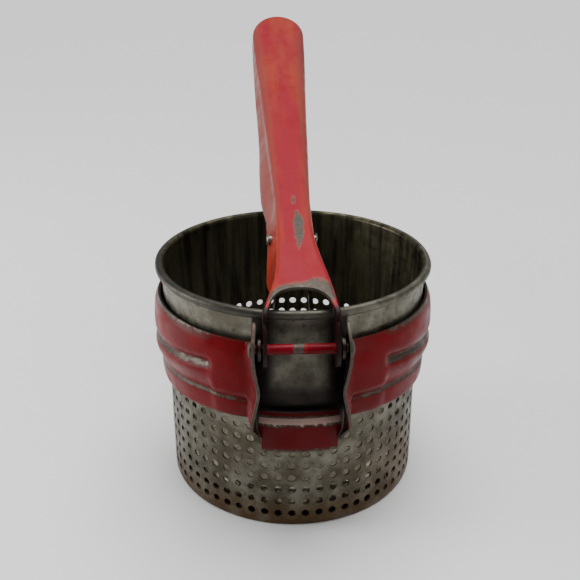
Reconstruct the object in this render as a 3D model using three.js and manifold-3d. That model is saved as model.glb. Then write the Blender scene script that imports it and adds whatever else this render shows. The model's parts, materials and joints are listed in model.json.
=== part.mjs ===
// Potato ricer: a perforated basket held in a pressed ring with a fixed lower handle, and a
// hinged upper lever that carries a plunger. Millimetres, +Z up. The origin is on the basket's
// axis at its underside, the hinge is towards -Y and both handles point to +Y.
import * as THREE from 'three';
import { mergeVertices } from 'three/addons/utils/BufferGeometryUtils.js';
import Module from 'manifold-3d';

const wasm = await Module();
wasm.setup();

// ---- driving dimensions -------------------------------------------------------------------
const GAP = 0.3;                    // clearance kept between pieces that touch
const SHEET = 1.2;                  // pressed steel of the ring, lever and handle

const RIM_HEIGHT = 79.7;            // centre of the rolled rim above the underside
const RIM_RADIUS = 46.0;            // centre of the rolled rim
const CURL_RADIUS = 1.5;            // outside of the rolled rim's section
const RIM_WIRE_RADIUS = 0.65;
const TIN = 0.7;                    // basket sheet
const WALL_FOOT = 0.3;              // lower edge of the wall, just above what the ricer stands on
const WALL_TOP_RADIUS = 45.3;       // outside of the wall under the rim
const WALL_LOW_RADIUS = 44.2;       // outside of the wall below the ring
const WALL_STEP_HEIGHT = 44;        // below this the wall is a plain cylinder
const BOTTOM_FLANGE = 3.0;          // turned-up edge of the bottom plate

const BAND_TOP = 70.2;              // upper edge of the ring
const BAND_SHEET = 1.0;
const RIB_START = 33;               // degrees from the hinge where the pressed rib begins
const RIB_BLEND = 6;                // degrees over which the rib reaches full depth

const PIN = { y: -52, z: RIM_HEIGHT - 8.2, radius: 1.6, hole: 1.95 };
const EAR_INNER = 13.5;             // inside faces of the hinge ears
const EAR_OUTER = EAR_INNER + SHEET;
const PIN_HEAD = { radius: 2.4, height: 0.9 };
const WASHER_RADIUS = 3.6;
const WINDOW_SILL = 43.9;           // lower edge of the opening between the ears
const PLATE = { outside: 48.0, inside: 46.7, low: 32.6, corner: 12.2, cornerTop: 38.8 };
const LEDGE = { inside: 45.1, top: 45.4, thickness: 1.3 };
const FLANGE_OUTER = 11.4;          // outside of the lever's flanges at the hinge

const LEVER_LENGTH = 223;           // hinge pin to tip, along the lever
const LEVER_ANGLE = 15.2;           // degrees above level with the plunger down
const WEB_HEIGHT = 13;              // lever's top face above the line through the pin
const GRIP_HALF = 12.0;             // half width near the rounded end
const GRIP_END = 18;                // length of the rounded end
const ARCH = { centre: -2.5, reach: 15.5, power: 2.6 };   // cut in the web over the pin

const PIVOT = { y: -6.5, z: RIM_HEIGHT + 8.9 };   // plunger pivot, plunger down
const PIVOT_RADIUS = 1.5;
const PIVOT_HEAD = { inner: 2.5, outer: 2.2, left: 8.6, right: 7.4, height: 0.7 };
const DISC_RADIUS = 39.0;
const DISC_HEIGHT = 5.5;            // underside of the plunger above the basket's underside
const DISC_SHEET = 1.2;
const DISC_RIM = 7.3;               // height of the disc's turned-up edge
const DISC_FORWARD = -2.5;          // disc centre along Y
const LEG = { sheet: 1.4, width: 8, top: 3.4, foot: 10.0 };   // yoke legs, inner faces
const YOKE_RIVET = { x: 5.2, shank: 1.4, hole: 1.7 };

const HANDLE_END = 170;             // tip of the lower handle along Y
const HANDLE_HALF = 9.0;            // half width at the rounded end
const HANDLE_WEB = RIM_HEIGHT - 27; // underside of the lower handle
const HANDLE_DEPTH = 10;
const SADDLE_ANGLE = 24;            // degrees each side of the back that the saddle covers
const SADDLE_RIVET = { shank: 1.4, hole: 1.75, head: 2.8, angle: 17, high: 63.5, low: 53.5 };
const ACROSS = 20;                  // half length of a cutter that passes through both sides

const ROUND = 40;                   // facets round the basket and the ring

const rad = THREE.MathUtils.degToRad;

// ---- solids -------------------------------------------------------------------------------
function outward(geometry) {
  const clean = geometry.clone();
  for (const name of Object.keys(clean.attributes)) {
    if (name !== 'position') clean.deleteAttribute(name);
  }
  const merged = mergeVertices(clean, 1e-4);
  const p = merged.attributes.position;
  const index = merged.index.array;
  const corner = [0, 1, 2].map(() => new THREE.Vector3());
  let volume = 0;
  const kept = [];
  for (let i = 0; i < index.length; i += 3) {
    const [a, b, c] = [index[i], index[i + 1], index[i + 2]];
    if (a === b || b === c || c === a) continue;
    kept.push(a, b, c);
    [a, b, c].forEach((vertex, k) => corner[k].fromBufferAttribute(p, vertex));
    volume += corner[0].dot(corner[1].clone().cross(corner[2]));
  }
  if (volume < 0) {
    for (let i = 0; i < kept.length; i += 3) [kept[i], kept[i + 1]] = [kept[i + 1], kept[i]];
  }
  merged.setIndex(kept);
  return merged;
}

function solid(geometry) {
  const closed = outward(geometry);
  return new wasm.Manifold(new wasm.Mesh({
    numProp: 3,
    vertProperties: new Float32Array(closed.attributes.position.array),
    triVerts: new Uint32Array(closed.index.array),
  }));
}

function geometryOf(manifold) {
  const mesh = manifold.getMesh();
  const geometry = new THREE.BufferGeometry();
  geometry.setAttribute('position', new THREE.BufferAttribute(mesh.vertProperties.slice(), 3));
  geometry.setIndex(Array.from(mesh.triVerts));
  return geometry;
}

// Skin a row of equal loops; a row that closes on itself needs no caps.
function loft(loops, closed = false) {
  const size = loops[0].length;
  const points = loops.flat();
  const faces = [];
  const rows = closed ? loops.length : loops.length - 1;
  for (let i = 0; i < rows; i += 1) {
    const next = (i + 1) % loops.length;
    for (let j = 0; j < size; j += 1) {
      const [a, b] = [i * size + j, i * size + ((j + 1) % size)];
      const [c, d] = [next * size + j, next * size + ((j + 1) % size)];
      faces.push(a, b, d, a, d, c);
    }
  }
  if (!closed) {
    const last = (loops.length - 1) * size;
    for (let j = 1; j < size - 1; j += 1) faces.push(0, j + 1, j, last, last + j, last + j + 1);
  }
  const geometry = new THREE.BufferGeometry();
  const numbers = points.flatMap((p) => p.toArray());
  geometry.setAttribute('position', new THREE.Float32BufferAttribute(numbers, 3));
  geometry.setIndex(faces);
  return geometry;
}

// Lathe round +Z from [radius, height] points; ROUND facets unless told otherwise.
function lathe(profile, facets = ROUND) {
  const points = profile.map(([r, z]) => new THREE.Vector2(r, z));
  return outward(new THREE.LatheGeometry(points, facets).rotateX(Math.PI / 2));
}

// Cylinder along X between two places.
function rodX(radius, x0, x1, y, z, facets = 20) {
  const rod = new THREE.CylinderGeometry(radius, radius, Math.abs(x1 - x0), facets);
  return rod.rotateZ(Math.PI / 2).translate((x0 + x1) / 2, y, z);
}

// Extrude a closed outline of [y, z] points along X from x0 to x1.
function plateX(outline, x0, x1) {
  const shape = new THREE.Shape(outline.map(([y, z]) => new THREE.Vector2(y, z)));
  const plate = new THREE.ExtrudeGeometry(shape, { depth: x1 - x0, bevelEnabled: false });
  // shape (u, v, w) -> (x = w, y = u, z = v)
  plate.applyMatrix4(new THREE.Matrix4().set(0, 0, 1, x0, 1, 0, 0, 0, 0, 1, 0, 0, 0, 0, 0, 1));
  return plate;
}

function arc(cx, cy, radius, from, to, steps) {
  const points = [];
  for (let i = 0; i <= steps; i += 1) {
    const a = rad(from + ((to - from) * i) / steps);
    points.push([cx + radius * Math.cos(a), cy + radius * Math.sin(a)]);
  }
  return points;
}

// Value at t of a curve given by [t, value] knots, straight between them.
function along(knots, t) {
  for (let i = 1; i < knots.length; i += 1) {
    const [t0, v0] = knots[i - 1];
    const [t1, v1] = knots[i];
    if (t <= t1) return v0 + (v1 - v0) * Math.max(0, (t - t0) / (t1 - t0));
  }
  return knots[knots.length - 1][1];
}

function piece(name, geometry, material) {
  const mesh = new THREE.Mesh(geometry, material);
  mesh.name = name;
  return mesh;
}

// ---- materials ----------------------------------------------------------------------------
function finish(color, roughness, metalness) {
  return new THREE.MeshStandardMaterial({ color, roughness, metalness });
}

const redEnamel = () => finish(0xa8242c, 0.45, 0.1);
const tinPlate = () => finish(0x8d8f86, 0.45, 0.9);
const brightSteel = () => finish(0xb9b7b0, 0.35, 0.9);

// ---- basket -------------------------------------------------------------------------------
// The wall's top edge curls outwards over the rim wire and stops short of closing.
function basketWall() {
  const curlOuter = arc(RIM_RADIUS, RIM_HEIGHT, CURL_RADIUS, 180, -80, 7);
  const curlInner = arc(RIM_RADIUS, RIM_HEIGHT, CURL_RADIUS - TIN * 0.7, -80, 175, 6);
  return lathe([
    [WALL_LOW_RADIUS - TIN, WALL_FOOT],
    [WALL_LOW_RADIUS - TIN, WALL_STEP_HEIGHT],
    [WALL_TOP_RADIUS - TIN, RIM_HEIGHT - 3],
    ...curlOuter,
    ...curlInner,
    [WALL_TOP_RADIUS, RIM_HEIGHT - 3.2],
    [WALL_LOW_RADIUS, WALL_STEP_HEIGHT],
    [WALL_LOW_RADIUS, WALL_FOOT],
    [WALL_LOW_RADIUS - TIN, WALL_FOOT],
  ]);
}

function rimWire() {
  const wire = new THREE.TorusGeometry(RIM_RADIUS, RIM_WIRE_RADIUS, 6, ROUND);
  return wire.translate(0, 0, RIM_HEIGHT);
}

// A flat plate with its edge turned up inside the wall.
function basketBottom() {
  const edge = WALL_LOW_RADIUS - TIN - GAP;
  return lathe([
    [0, 0],
    [edge - 1, 0],
    [edge, 1],
    [edge, BOTTOM_FLANGE],
    [edge - TIN, BOTTOM_FLANGE],
    [edge - TIN, 1.2],
    [edge - TIN - 0.6, TIN],
    [0, TIN],
  ]);
}

// ---- ring with hinge ears -----------------------------------------------------------------
const BAND_SKIRT = { front: 43.3, frontDrop: 3.3, back: 44, backDrop: 4 };

function bandLowerEdge(angle) {
  const side = Math.abs(Math.sin(angle));
  return Math.cos(angle) > 0
    ? BAND_SKIRT.front - BAND_SKIRT.frontDrop * side ** 1.5
    : BAND_SKIRT.back - BAND_SKIRT.backDrop * side ** 2.5;
}

// 0 on the plain stretches at the hinge and at the lower handle, 1 where the rib is pressed.
function ribDepth(angle) {
  const fromFront = THREE.MathUtils.radToDeg(Math.acos(Math.cos(angle)));
  const fromEnd = Math.min(fromFront, 180 - fromFront);
  return THREE.MathUtils.smoothstep(fromEnd, RIB_START, RIB_START + RIB_BLEND);
}

// The ring's outside as [radius, height] points; angle is measured from the hinge.
function bandOutline(angle) {
  const side = Math.abs(Math.sin(angle));
  const low = bandLowerEdge(angle);
  const crease = 61.8 - 5.6 * side ** 3;
  const lip = 49.6 - 3.6 * side ** 6;
  const plain = [
    [46.9, BAND_TOP], [48.1, BAND_TOP - 4], [48.7, crease + 2], [48.9, crease],
    [49.0, crease - 2], [48.9, (crease + lip) / 2], [48.5, lip + 1.5], [47.2, lip], [46.2, low],
  ];
  const ribbed = [
    [46.9, BAND_TOP], [48.2, BAND_TOP - 4], [48.3, crease + 2], [47.5, crease],
    [48.3, crease - 2], [48.6, (crease + lip) / 2], [47.7, lip + 1.5], [46.5, lip], [46.0, low],
  ];
  const amount = ribDepth(angle);
  return plain.map(([r, z], i) => [r + (ribbed[i][0] - r) * amount, z]);
}

function atAngle(radius, angle, z) {
  return new THREE.Vector3(radius * Math.sin(angle), -radius * Math.cos(angle), z);
}

// Loops of a sheet that follows the ring's outside, from `inset` inside it to `outset` outside.
function bandLoop(angle, inset, outset, rows) {
  const outline = bandOutline(angle).slice(...rows);
  const outer = outline.map(([r, z]) => atAngle(r + outset, angle, z));
  const inner = outline.map(([r, z]) => atAngle(r - inset, angle, z)).reverse();
  return [...outer, ...inner];
}

const EAR_SIDE = [
  [-45.4, 71.0], [-47.4, 77.6], [-49.2, 79.0], [-52.5, 78.6], [-55.6, 76.4], [-57.2, 72.6],
  [-57.4, 68.5], [-56.4, 62.5], [-55.0, 57.5], [-54.8, 52.0], [-54.6, 46.5], [-53.4, 43.0],
  [-50.4, 39.0], [-48.6, 37.5], [-45.4, 38.5],
];

function frameBand() {
  const steps = 2 * ROUND - 8;
  const rows = [0, bandOutline(0).length];
  const loops = [];
  for (let i = 0; i < steps; i += 1) {
    loops.push(bandLoop((2 * Math.PI * i) / steps, BAND_SHEET, 0, rows));
  }
  let band = solid(loft(loops, true));
  // window between the ears
  const window = new THREE.BoxGeometry(2 * EAR_INNER, ACROSS, 60);
  band = band.subtract(solid(window.translate(0, -50, WINDOW_SILL + 30)));
  // ears, and the cross plate with its ledge that joins them under the window
  for (const side of [-1, 1]) {
    const [near, far] = [side * EAR_INNER, side * EAR_OUTER].sort((a, b) => a - b);
    band = band.add(solid(plateX(EAR_SIDE, near, far)));
  }
  band = band.add(solid(sectioned(crossPlate())));
  // stepped lower corners
  for (const side of [-1, 1]) {
    const corner = new THREE.BoxGeometry(6, 14, 12);
    band = band.subtract(solid(corner.translate(side * (PLATE.corner + 3), -50, PLATE.cornerTop - 6)));
  }
  band = band.subtract(solid(rodX(PIN.hole, -ACROSS, ACROSS, PIN.y, PIN.z)));
  for (const hole of saddleHoles()) band = band.subtract(solid(hole));
  return geometryOf(band);
}

// Sections of the plate that joins the ears; its top edge slopes in towards the basket.
function crossPlate() {
  const half = Math.asin((EAR_INNER + 0.4) / PLATE.outside);
  const sections = [];
  for (let i = 0; i <= 8; i += 1) {
    const a = half * (i / 4 - 1);
    sections.push([
      atAngle(PLATE.outside, a, WINDOW_SILL - 1.9),
      atAngle(PLATE.outside, a, PLATE.low),
      atAngle(PLATE.inside, a, PLATE.low),
      atAngle(PLATE.inside, a, WINDOW_SILL - 1.9),
      atAngle(LEDGE.inside, a, LEDGE.top - LEDGE.thickness),
      atAngle(LEDGE.inside, a, LEDGE.top),
      atAngle(LEDGE.inside + 1.4, a, LEDGE.top - 0.7),
    ]);
  }
  return sections;
}

// A loft whose end sections may be concave: the caps are triangulated.
function sectioned(loops) {
  const skin = loft(loops, true);
  const size = loops[0].length;
  const rows = loops.length;
  const keep = Array.from(skin.index.array).slice(0, (rows - 1) * size * 6);
  const axis = [loops[0], loops[rows - 1]];
  axis.forEach((loop, end) => {
    const flat = loop.map((p) => new THREE.Vector2(Math.hypot(p.x, p.y), p.z));
    const base = end === 0 ? 0 : (rows - 1) * size;
    for (const [a, b, c] of THREE.ShapeUtils.triangulateShape(flat, [])) {
      const turn = THREE.ShapeUtils.isClockWise(flat) === (end === 0);
      keep.push(...(turn ? [base + a, base + b, base + c] : [base + a, base + c, base + b]));
    }
  });
  skin.setIndex(keep);
  return skin;
}

// ---- lower handle -------------------------------------------------------------------------
// Left is towards -X, as for every other piece; angles are measured from the hinge towards +X.
const SADDLE_RIVETS = [
  { name: 'upper_left', angle: 180 + SADDLE_RIVET.angle, z: SADDLE_RIVET.high },
  { name: 'upper_right', angle: 180 - SADDLE_RIVET.angle, z: SADDLE_RIVET.high },
  { name: 'lower_left', angle: 180 + SADDLE_RIVET.angle, z: SADDLE_RIVET.low },
  { name: 'lower_right', angle: 180 - SADDLE_RIVET.angle, z: SADDLE_RIVET.low },
];

// A cylinder that points out from the axis, between two radii.
function radial(radius, angle, z, r0, r1, facets = 16) {
  const rod = new THREE.CylinderGeometry(radius, radius, r1 - r0, facets);
  rod.translate(0, (r0 + r1) / 2, 0);
  return rod.rotateZ(rad(angle) - Math.PI).translate(0, 0, z);
}

function saddleHoles() {
  return SADDLE_RIVETS.map(({ angle, z }) => radial(SADDLE_RIVET.hole, angle, z, 44, 56));
}

function handleRivet({ angle, z }) {
  const shank = solid(radial(SADDLE_RIVET.shank, angle, z, 46.8, 52.2));
  const outerHead = solid(radial(SADDLE_RIVET.head, angle, z, 51.0, 52.4));
  const innerHead = solid(radial(2.4, angle, z, 46.0, 46.9));
  return geometryOf(shank.add(outerHead).add(innerHead));
}

const HANDLE_WIDTH = [[49, 8.2], [90, 8.2], [150, HANDLE_HALF]];

// Places that share out a rounded end of this length, up to its tip.
function roundedEnd(tip, length) {
  const places = [];
  for (let i = 0; i <= 5; i += 1) places.push(tip - length + length * Math.sin(rad(i * 17.4)));
  return places;
}

// Width of a rounded end at t, as a share of the full width.
function roundedShare(t, tip, length) {
  return t > tip - length ? Math.sqrt(Math.max(0.004, 1 - ((t - tip + length) / length) ** 2)) : 1;
}

// Channel with a rounded end, open upwards: an outer body less an inner one.
function handleBody(inset) {
  const half = HANDLE_HALF - inset;
  const end = HANDLE_END - inset;
  const floor = HANDLE_WEB + inset;
  const top = HANDLE_WEB + HANDLE_DEPTH + (inset > 0 ? 5 : 0);
  const start = inset > 0 ? 40 : 49.4;
  const loops = [];
  for (const y of [start, 60, 90, 130, ...roundedEnd(end, half)]) {
    const w = (along(HANDLE_WIDTH, y) - inset) * roundedShare(y, end, half);
    const shoulder = Math.min(2.5, w * 0.5);
    loops.push([
      [-w, top], [-w, floor + shoulder], [-w + shoulder * 0.3, floor + shoulder * 0.3],
      [-w + shoulder, floor], [w - shoulder, floor], [w - shoulder * 0.3, floor + shoulder * 0.3],
      [w, floor + shoulder], [w, top],
    ].map(([x, z]) => new THREE.Vector3(x, y, z)));
  }
  return solid(loft(loops));
}

const CLEAR = GAP + 0.1;            // between the ring and the saddle

function lowerHandle() {
  const saddle = [];
  for (let i = 0; i <= 12; i += 1) {
    const a = Math.PI + rad(SADDLE_ANGLE) * (i / 6 - 1);
    saddle.push(bandLoop(a, -CLEAR, CLEAR + SHEET, [1, 7]));
  }
  let handle = handleBody(0).add(solid(sectioned(saddle))).subtract(handleBody(SHEET));
  const clear = [];
  for (let i = 0; i <= 12; i += 1) {
    const a = Math.PI + rad(SADDLE_ANGLE + 8) * (i / 6 - 1);
    clear.push(bandLoop(a, 8, CLEAR, [0, bandOutline(a).length]));
  }
  handle = handle.subtract(solid(sectioned(clear)));
  for (const hole of saddleHoles()) handle = handle.subtract(solid(hole));
  return geometryOf(handle);
}

// ---- upper lever --------------------------------------------------------------------------
// In the lever's own frame the hinge pin is at the origin, +Y runs to the tip and +Z is up.
// Each row: place along the lever, half width left and right, lean of the left and right flange.
const LEVER_SECTIONS = [
  [-8, FLANGE_OUTER, FLANGE_OUTER, 0, 0],
  [3, FLANGE_OUTER, FLANGE_OUTER, 0, 0],
  [13, 9.0, 10.3, 0.10, 0],
  [20, 7.5, 9.3, 0.26, 0.05],
  [30, 6.7, 7.6, 0.27, 0.10],
  [40, 6.1, 6.3, 0.27, 0.10],
  [52, 6.1, 6.1, 0.24, 0.10],
  [60, 6.1, 6.1, 0.36, 0.08],
  [72, 6.5, 6.5, 0.60, 0.06],
  [90, 7.3, 7.3, 0.58, 0.05],
  [110, 8.1, 8.1, 0.46, 0.05],
  [130, 8.9, 8.9, 0.42, 0.05],
  [150, 9.8, 9.8, 0.38, 0.05],
  [170, 10.8, 10.8, 0.26, 0.05],
  [190, 11.6, 11.6, 0.12, 0.05],
  [206, GRIP_HALF, GRIP_HALF, 0.05, 0.05],
];
const SHOULDER = [[-8, 1.6], [40, 1.8], [100, 3.0], [140, 4.5], [193, 5.5], [223, 5.5]];
const LEVER_SIDE = [
  ...arc(0, 0, 5.5, 150, 320, 10),
  [5.0, 0.5], [5.2, 5.5], [6.2, 8.0], [8.4, 9.4], [13.5, 9.2], [18, 6.6], [24, 3.2], [30, 0.6],
  [36, -0.5], [50, -0.8], [56, 1.0], [62, 3.0], [80, 3.6], [226, 3.6], [226, 14], [6, 14], [1.5, 11.8],
  [-2.0, 8.0],
];

function leverBody(inset) {
  const tip = LEVER_LENGTH - inset;
  const end = GRIP_END - inset;
  const stations = LEVER_SECTIONS.map(([t]) => t).filter((t) => t < tip - end);
  if (inset > 0) stations[0] -= 4;
  stations.push(...roundedEnd(tip, end));
  const loops = stations.map((t) => {
    const round = roundedShare(t, tip, end);
    const top = WEB_HEIGHT - inset;
    const bottom = inset > 0 ? -9 : -7;
    const column = (index) => along(LEVER_SECTIONS.map((row) => [row[0], row[index]]), t);
    const [left, right] = [1, 2].map((index) => (column(index) - inset) * round);
    const s = Math.min(along(SHOULDER, t), Math.min(left, right) * 0.5);
    const [leftFoot, rightFoot] = [3, 4].map((index) => column(index) * (top - s - bottom) * round);
    return [
      [-left - leftFoot, bottom], [-left, top - s], [-left + s * 0.3, top - s * 0.3], [-left + s, top],
      [right - s, top], [right - s * 0.3, top - s * 0.3], [right, top - s], [right + rightFoot, bottom],
    ].map(([x, z]) => new THREE.Vector3(x, t, z));
  });
  return solid(loft(loops));
}

function upperLever() {
  let lever = leverBody(0).subtract(leverBody(SHEET));
  lever = lever.intersect(solid(plateX(LEVER_SIDE, -30, 30)));
  lever = lever.subtract(solid(archCutter()));
  lever = lever.subtract(solid(rodX(PIN.hole, -ACROSS, ACROSS, 0, 0)));
  const pivot = leverPoint(PIVOT);
  lever = lever.subtract(solid(rodX(PIVOT_RADIUS + GAP, -ACROSS, ACROSS, pivot.y, pivot.z, 16)));
  return geometryOf(lever);
}

// The opening in the web over the pin: a superellipse, flatter at its top than an ellipse.
function archCutter() {
  const half = FLANGE_OUTER - SHEET;
  const soften = (value) => Math.sign(value) * Math.abs(value) ** (2 / ARCH.power);
  const points = [];
  for (let i = 0; i < 36; i += 1) {
    const a = rad(i * 10 + 5);
    points.push(new THREE.Vector2(half * soften(Math.cos(a)), ARCH.reach * soften(Math.sin(a))));
  }
  const cutter = new THREE.ExtrudeGeometry(new THREE.Shape(points), { depth: 10, bevelEnabled: false });
  return cutter.translate(0, ARCH.centre, WEB_HEIGHT - 5);
}

// A place of the assembly in the lever's frame.
function leverPoint({ y, z }) {
  const turn = rad(-LEVER_ANGLE);
  const [dy, dz] = [y - PIN.y, z - PIN.z];
  return {
    y: dy * Math.cos(turn) - dz * Math.sin(turn),
    z: dy * Math.sin(turn) + dz * Math.cos(turn),
  };
}

// ---- hinge --------------------------------------------------------------------------------
function hingePin() {
  const reach = EAR_OUTER + GAP;
  let pin = solid(rodX(PIN.radius, -reach - 0.6, reach + 0.6, PIN.y, PIN.z));
  for (const side of [-1, 1]) {
    const head = rodX(PIN_HEAD.radius, side * reach, side * (reach + PIN_HEAD.height), PIN.y, PIN.z);
    pin = pin.add(solid(head));
  }
  return geometryOf(pin);
}

function hingeWasher(side) {
  const [x0, x1] = [FLANGE_OUTER + GAP, EAR_INNER - GAP];
  const washer = solid(rodX(WASHER_RADIUS, side * x0, side * x1, PIN.y, PIN.z));
  return geometryOf(washer.subtract(solid(rodX(PIN.hole, -ACROSS, ACROSS, PIN.y, PIN.z))));
}

// ---- plunger ------------------------------------------------------------------------------
const DISC_TOP = DISC_HEIGHT + DISC_SHEET;

function plungerDisc() {
  const disc = solid(lathe([
    [0, DISC_HEIGHT], [DISC_RADIUS - 1.2, DISC_HEIGHT], [DISC_RADIUS, DISC_HEIGHT + 1.2],
    [DISC_RADIUS, DISC_HEIGHT + DISC_RIM], [DISC_RADIUS - DISC_SHEET, DISC_HEIGHT + DISC_RIM],
    [DISC_RADIUS - DISC_SHEET, DISC_HEIGHT + 1.7], [DISC_RADIUS - 1.8, DISC_TOP], [0, DISC_TOP],
  ]).translate(0, DISC_FORWARD, 0));
  let plate = disc;
  for (const side of [-1, 1]) plate = plate.subtract(solid(rivetHole(side, DISC_HEIGHT)));
  return geometryOf(plate);
}

// Upright cutter for one of the rivets that hold the yoke to the disc.
function rivetHole(side, z) {
  const hole = new THREE.CylinderGeometry(YOKE_RIVET.hole, YOKE_RIVET.hole, 10, 16);
  return hole.rotateX(Math.PI / 2).translate(side * YOKE_RIVET.x, PIVOT.y, z);
}

// One strap bent into a U: its base lies on the disc and its legs rise to the pivot.
function plungerYoke() {
  const base = DISC_TOP + GAP;
  const legTop = PIVOT.z;
  const { sheet, width, top, foot } = LEG;
  const profile = new THREE.Shape([
    [-foot - sheet, base + 2], [-foot, base], [foot, base], [foot + sheet, base + 2],
    [top + sheet, legTop], [top, legTop], [foot - 0.4, base + sheet + 1.6],
    [foot - 2, base + sheet], [-foot + 2, base + sheet], [-foot + 0.4, base + sheet + 1.6],
    [-top, legTop], [-top - sheet, legTop],
  ].map(([x, z]) => new THREE.Vector2(x, z)));
  const strap = new THREE.ExtrudeGeometry(profile, { depth: width, bevelEnabled: false });
  strap.rotateX(Math.PI / 2).translate(0, PIVOT.y + width / 2, 0);
  let yoke = solid(strap);
  for (const side of [-1, 1]) {
    const [near, far] = [side * top, side * (top + sheet)].sort((a, b) => a - b);
    const eye = rodX(width / 2, near, far, PIVOT.y, PIVOT.z, 24);
    yoke = yoke.add(solid(eye)).subtract(solid(rivetHole(side, base)));
  }
  yoke = yoke.subtract(solid(rodX(PIVOT_RADIUS + GAP, -ACROSS, ACROSS, PIVOT.y, PIVOT.z, 16)));
  return geometryOf(yoke);
}

function yokeRivet(side) {
  const head = DISC_TOP + GAP + LEG.sheet + GAP;
  return lathe([
    [0, DISC_HEIGHT - 1.3], [2.4, DISC_HEIGHT - 1.3], [2.6, DISC_HEIGHT - GAP],
    [YOKE_RIVET.shank, DISC_HEIGHT - GAP], [YOKE_RIVET.shank, head], [2.8, head],
    [1.9, head + 1.0], [0, head + 1.3],
  ], 16).translate(side * YOKE_RIVET.x, PIVOT.y, 0);
}

// Rivet through a lever flange and a yoke leg, with a head on each side.
function pivotRivet(side) {
  const inner = LEG.top - GAP;
  const { height } = PIVOT_HEAD;
  const base = side < 0 ? PIVOT_HEAD.left : PIVOT_HEAD.right;
  const rod = (radius, x0, x1) => solid(rodX(radius, side * x0, side * x1, PIVOT.y, PIVOT.z, 16));
  const shank = rod(PIVOT_RADIUS, inner - 0.5, base + height / 2);
  const innerHead = rod(PIVOT_HEAD.inner, inner - 1.0, inner);
  const outerHead = rod(PIVOT_HEAD.outer, base, base + height);
  return geometryOf(shank.add(innerHead).add(outerHead));
}

// ---- assembly -----------------------------------------------------------------------------
const ricer = new THREE.Group();

ricer.add(piece('basket_wall', basketWall(), tinPlate()));
ricer.add(piece('basket_bottom', basketBottom(), tinPlate()));
ricer.add(piece('rim_wire', rimWire(), brightSteel()));
ricer.add(piece('frame_band', frameBand(), redEnamel()));
ricer.add(piece('lower_handle', lowerHandle(), redEnamel()));
for (const rivet of SADDLE_RIVETS) {
  ricer.add(piece(`handle_rivet_${rivet.name}`, handleRivet(rivet), brightSteel()));
}

const lever = piece('upper_lever', upperLever(), redEnamel());
lever.position.set(0, PIN.y, PIN.z);
lever.rotation.x = rad(LEVER_ANGLE);
ricer.add(lever);

ricer.add(piece('hinge_pin', hingePin(), redEnamel()));
ricer.add(piece('plunger_disc', plungerDisc(), tinPlate()));
ricer.add(piece('plunger_yoke', plungerYoke(), tinPlate()));
for (const [word, side] of [['left', -1], ['right', 1]]) {
  ricer.add(piece(`hinge_washer_${word}`, hingeWasher(side), brightSteel()));
  ricer.add(piece(`yoke_rivet_${word}`, yokeRivet(side), brightSteel()));
  ricer.add(piece(`pivot_rivet_${word}`, pivotRivet(side), brightSteel()));
}

export default ricer;
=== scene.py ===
# Potato ricer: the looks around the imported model. Lengths are in millimetres, and MM turns them
# into metres, except where a comment says metres. The hinge is towards -Y, the handles to +Y.
import json
import math
import random

import bpy
from mathutils import Euler, Matrix, Vector, geometry, noise


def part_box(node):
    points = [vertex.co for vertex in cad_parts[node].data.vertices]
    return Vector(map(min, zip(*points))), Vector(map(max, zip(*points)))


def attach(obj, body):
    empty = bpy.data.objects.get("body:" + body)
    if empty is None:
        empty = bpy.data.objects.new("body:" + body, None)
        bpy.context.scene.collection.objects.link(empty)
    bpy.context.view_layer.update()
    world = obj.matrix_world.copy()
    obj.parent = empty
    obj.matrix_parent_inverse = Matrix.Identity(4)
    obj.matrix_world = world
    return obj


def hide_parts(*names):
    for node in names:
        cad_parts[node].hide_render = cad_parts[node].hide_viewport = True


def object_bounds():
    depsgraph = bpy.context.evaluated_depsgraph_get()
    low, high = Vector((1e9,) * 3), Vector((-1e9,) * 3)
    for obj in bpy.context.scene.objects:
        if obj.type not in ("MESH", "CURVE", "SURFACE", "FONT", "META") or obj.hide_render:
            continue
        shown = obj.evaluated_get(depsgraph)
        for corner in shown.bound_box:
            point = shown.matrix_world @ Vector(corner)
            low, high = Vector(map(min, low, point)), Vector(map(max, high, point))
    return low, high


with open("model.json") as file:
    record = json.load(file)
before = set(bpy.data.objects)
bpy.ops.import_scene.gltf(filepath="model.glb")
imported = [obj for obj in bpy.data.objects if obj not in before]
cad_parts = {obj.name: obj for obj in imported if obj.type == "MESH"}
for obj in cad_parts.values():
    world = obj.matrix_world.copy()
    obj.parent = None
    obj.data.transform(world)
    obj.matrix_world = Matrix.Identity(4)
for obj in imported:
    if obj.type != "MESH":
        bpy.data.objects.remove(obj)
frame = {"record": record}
cad_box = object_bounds()

MM = 0.001
TAU = 2 * math.pi


# ---- places taken from the frame, in millimetres ----------------------------
def box_mm(node):
    """Lowest and highest corner of a node, in millimetres."""
    low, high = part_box(node)
    return [c / MM for c in low], [c / MM for c in high]


JOINTS = {joint["name"]: joint for joint in frame["record"]["behaviour"]["joints"]}
PIN_Y, PIN_Z = [c / MM for c in JOINTS["lever_hinge"]["pos_m"][1:]]
PIVOT_Y, PIVOT_Z = [c / MM for c in JOINTS["plunger_swing"]["pos_m"][1:]]

WALL_HIGH = box_mm("basket_wall")[1]
BOTTOM_HIGH = box_mm("basket_bottom")[1]
HANDLE_HIGH = box_mm("lower_handle")[1]
DISC_LOW, DISC_HIGH = box_mm("plunger_disc")
YOKE_LOW, YOKE_HIGH = box_mm("plunger_yoke")

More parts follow.
